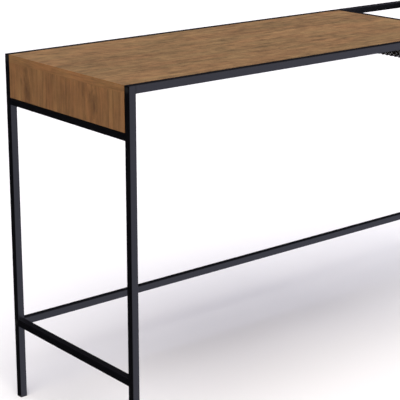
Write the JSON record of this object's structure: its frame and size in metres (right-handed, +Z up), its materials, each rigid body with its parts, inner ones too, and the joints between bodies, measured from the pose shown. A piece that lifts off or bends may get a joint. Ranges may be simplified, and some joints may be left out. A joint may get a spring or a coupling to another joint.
{
  "type": "writing desk",
  "caption": "Long writing desk: slim black square-tube frame, flush oak worktop over most of its length, and an open bay with sliding mesh drawers at the right end.",
  "frame": {"origin": "on the floor, under the middle of the desk's outline", "axes": "+X to the right along the desk's length, -Y towards the sitter, +Z up"},
  "size_m": [1.5, 0.44, 0.78],
  "materials": {
    "frame_steel": "fine-textured black powder coat",
    "mesh_steel": "black powder coat on expanded metal",
    "oak": "matt oak melamine with a fine grain",
    "black_plastic": "matt black",
    "rubber": "matt",
    "beech": "bare fluted dowel",
    "zinc_steel": "zinc plated"
  },
  "bodies": {
    "frame": {"back_lower_rail": "frame_steel", "back_top_rail": "frame_steel", "bay_centre_tube": "frame_steel", "bay_cross_tube": "frame_steel", "bolt_cover_caps": "black_plastic", "foot_glides": "black_plastic", "frame_bolts": "zinc_steel", "front_top_rail": "frame_steel", "left_foot_bar": "frame_steel", "left_panel_rail": "frame_steel", "left_side_panel": "oak", "leg_back_left": "frame_steel", "leg_back_right": "frame_steel", "leg_front_left": "frame_steel", "leg_front_right": "frame_steel", "leg_top_caps": "frame_steel", "panel_bracket_screws": "zinc_steel", "panel_brackets": "zinc_steel", "panel_dowels": "beech", "panel_rail_screws": "zinc_steel", "rail_end_nuts": "zinc_steel", "right_end_top_tube": "frame_steel", "right_foot_bar": "frame_steel", "right_panel_rail": "frame_steel", "right_side_panel": "oak", "runner_bay_left": "frame_steel", "runner_bay_right": "frame_steel", "runner_buffers": "rubber", "runner_centre_left": "frame_steel", "runner_centre_right": "frame_steel", "runner_screws": "zinc_steel", "worktop": "oak", "worktop_edge_bands": "oak", "worktop_screws": "zinc_steel", "worktop_tabs": "frame_steel"},
    "drawer_left": {"drawer_left_front": "oak", "drawer_left_front_screws": "zinc_steel", "drawer_left_lower_front_bar": "frame_steel", "drawer_left_mesh_back": "mesh_steel", "drawer_left_mesh_floor": "mesh_steel", "drawer_left_mesh_left": "mesh_steel", "drawer_left_mesh_right": "mesh_steel", "drawer_left_pull_liner": "frame_steel", "drawer_left_rim_back_bar": "frame_steel", "drawer_left_rim_front_bar": "frame_steel", "drawer_left_rim_left_bar": "frame_steel", "drawer_left_rim_right_bar": "frame_steel"},
    "drawer_right": {"drawer_right_front": "oak", "drawer_right_front_screws": "zinc_steel", "drawer_right_lower_front_bar": "frame_steel", "drawer_right_mesh_back": "mesh_steel", "drawer_right_mesh_floor": "mesh_steel", "drawer_right_mesh_left": "mesh_steel", "drawer_right_mesh_right": "mesh_steel", "drawer_right_pull_liner": "frame_steel", "drawer_right_rim_back_bar": "frame_steel", "drawer_right_rim_front_bar": "frame_steel", "drawer_right_rim_left_bar": "frame_steel", "drawer_right_rim_right_bar": "frame_steel"}
  },
  "joints": [
    {"name": "drawer_left_slide", "type": "slide", "parent": "frame", "child": "drawer_left", "axis": [0, -1, 0], "range_m": [0, 0.26]},
    {"name": "drawer_right_slide", "type": "slide", "parent": "frame", "child": "drawer_right", "axis": [0, -1, 0], "range_m": [0, 0.26]}
  ]
}
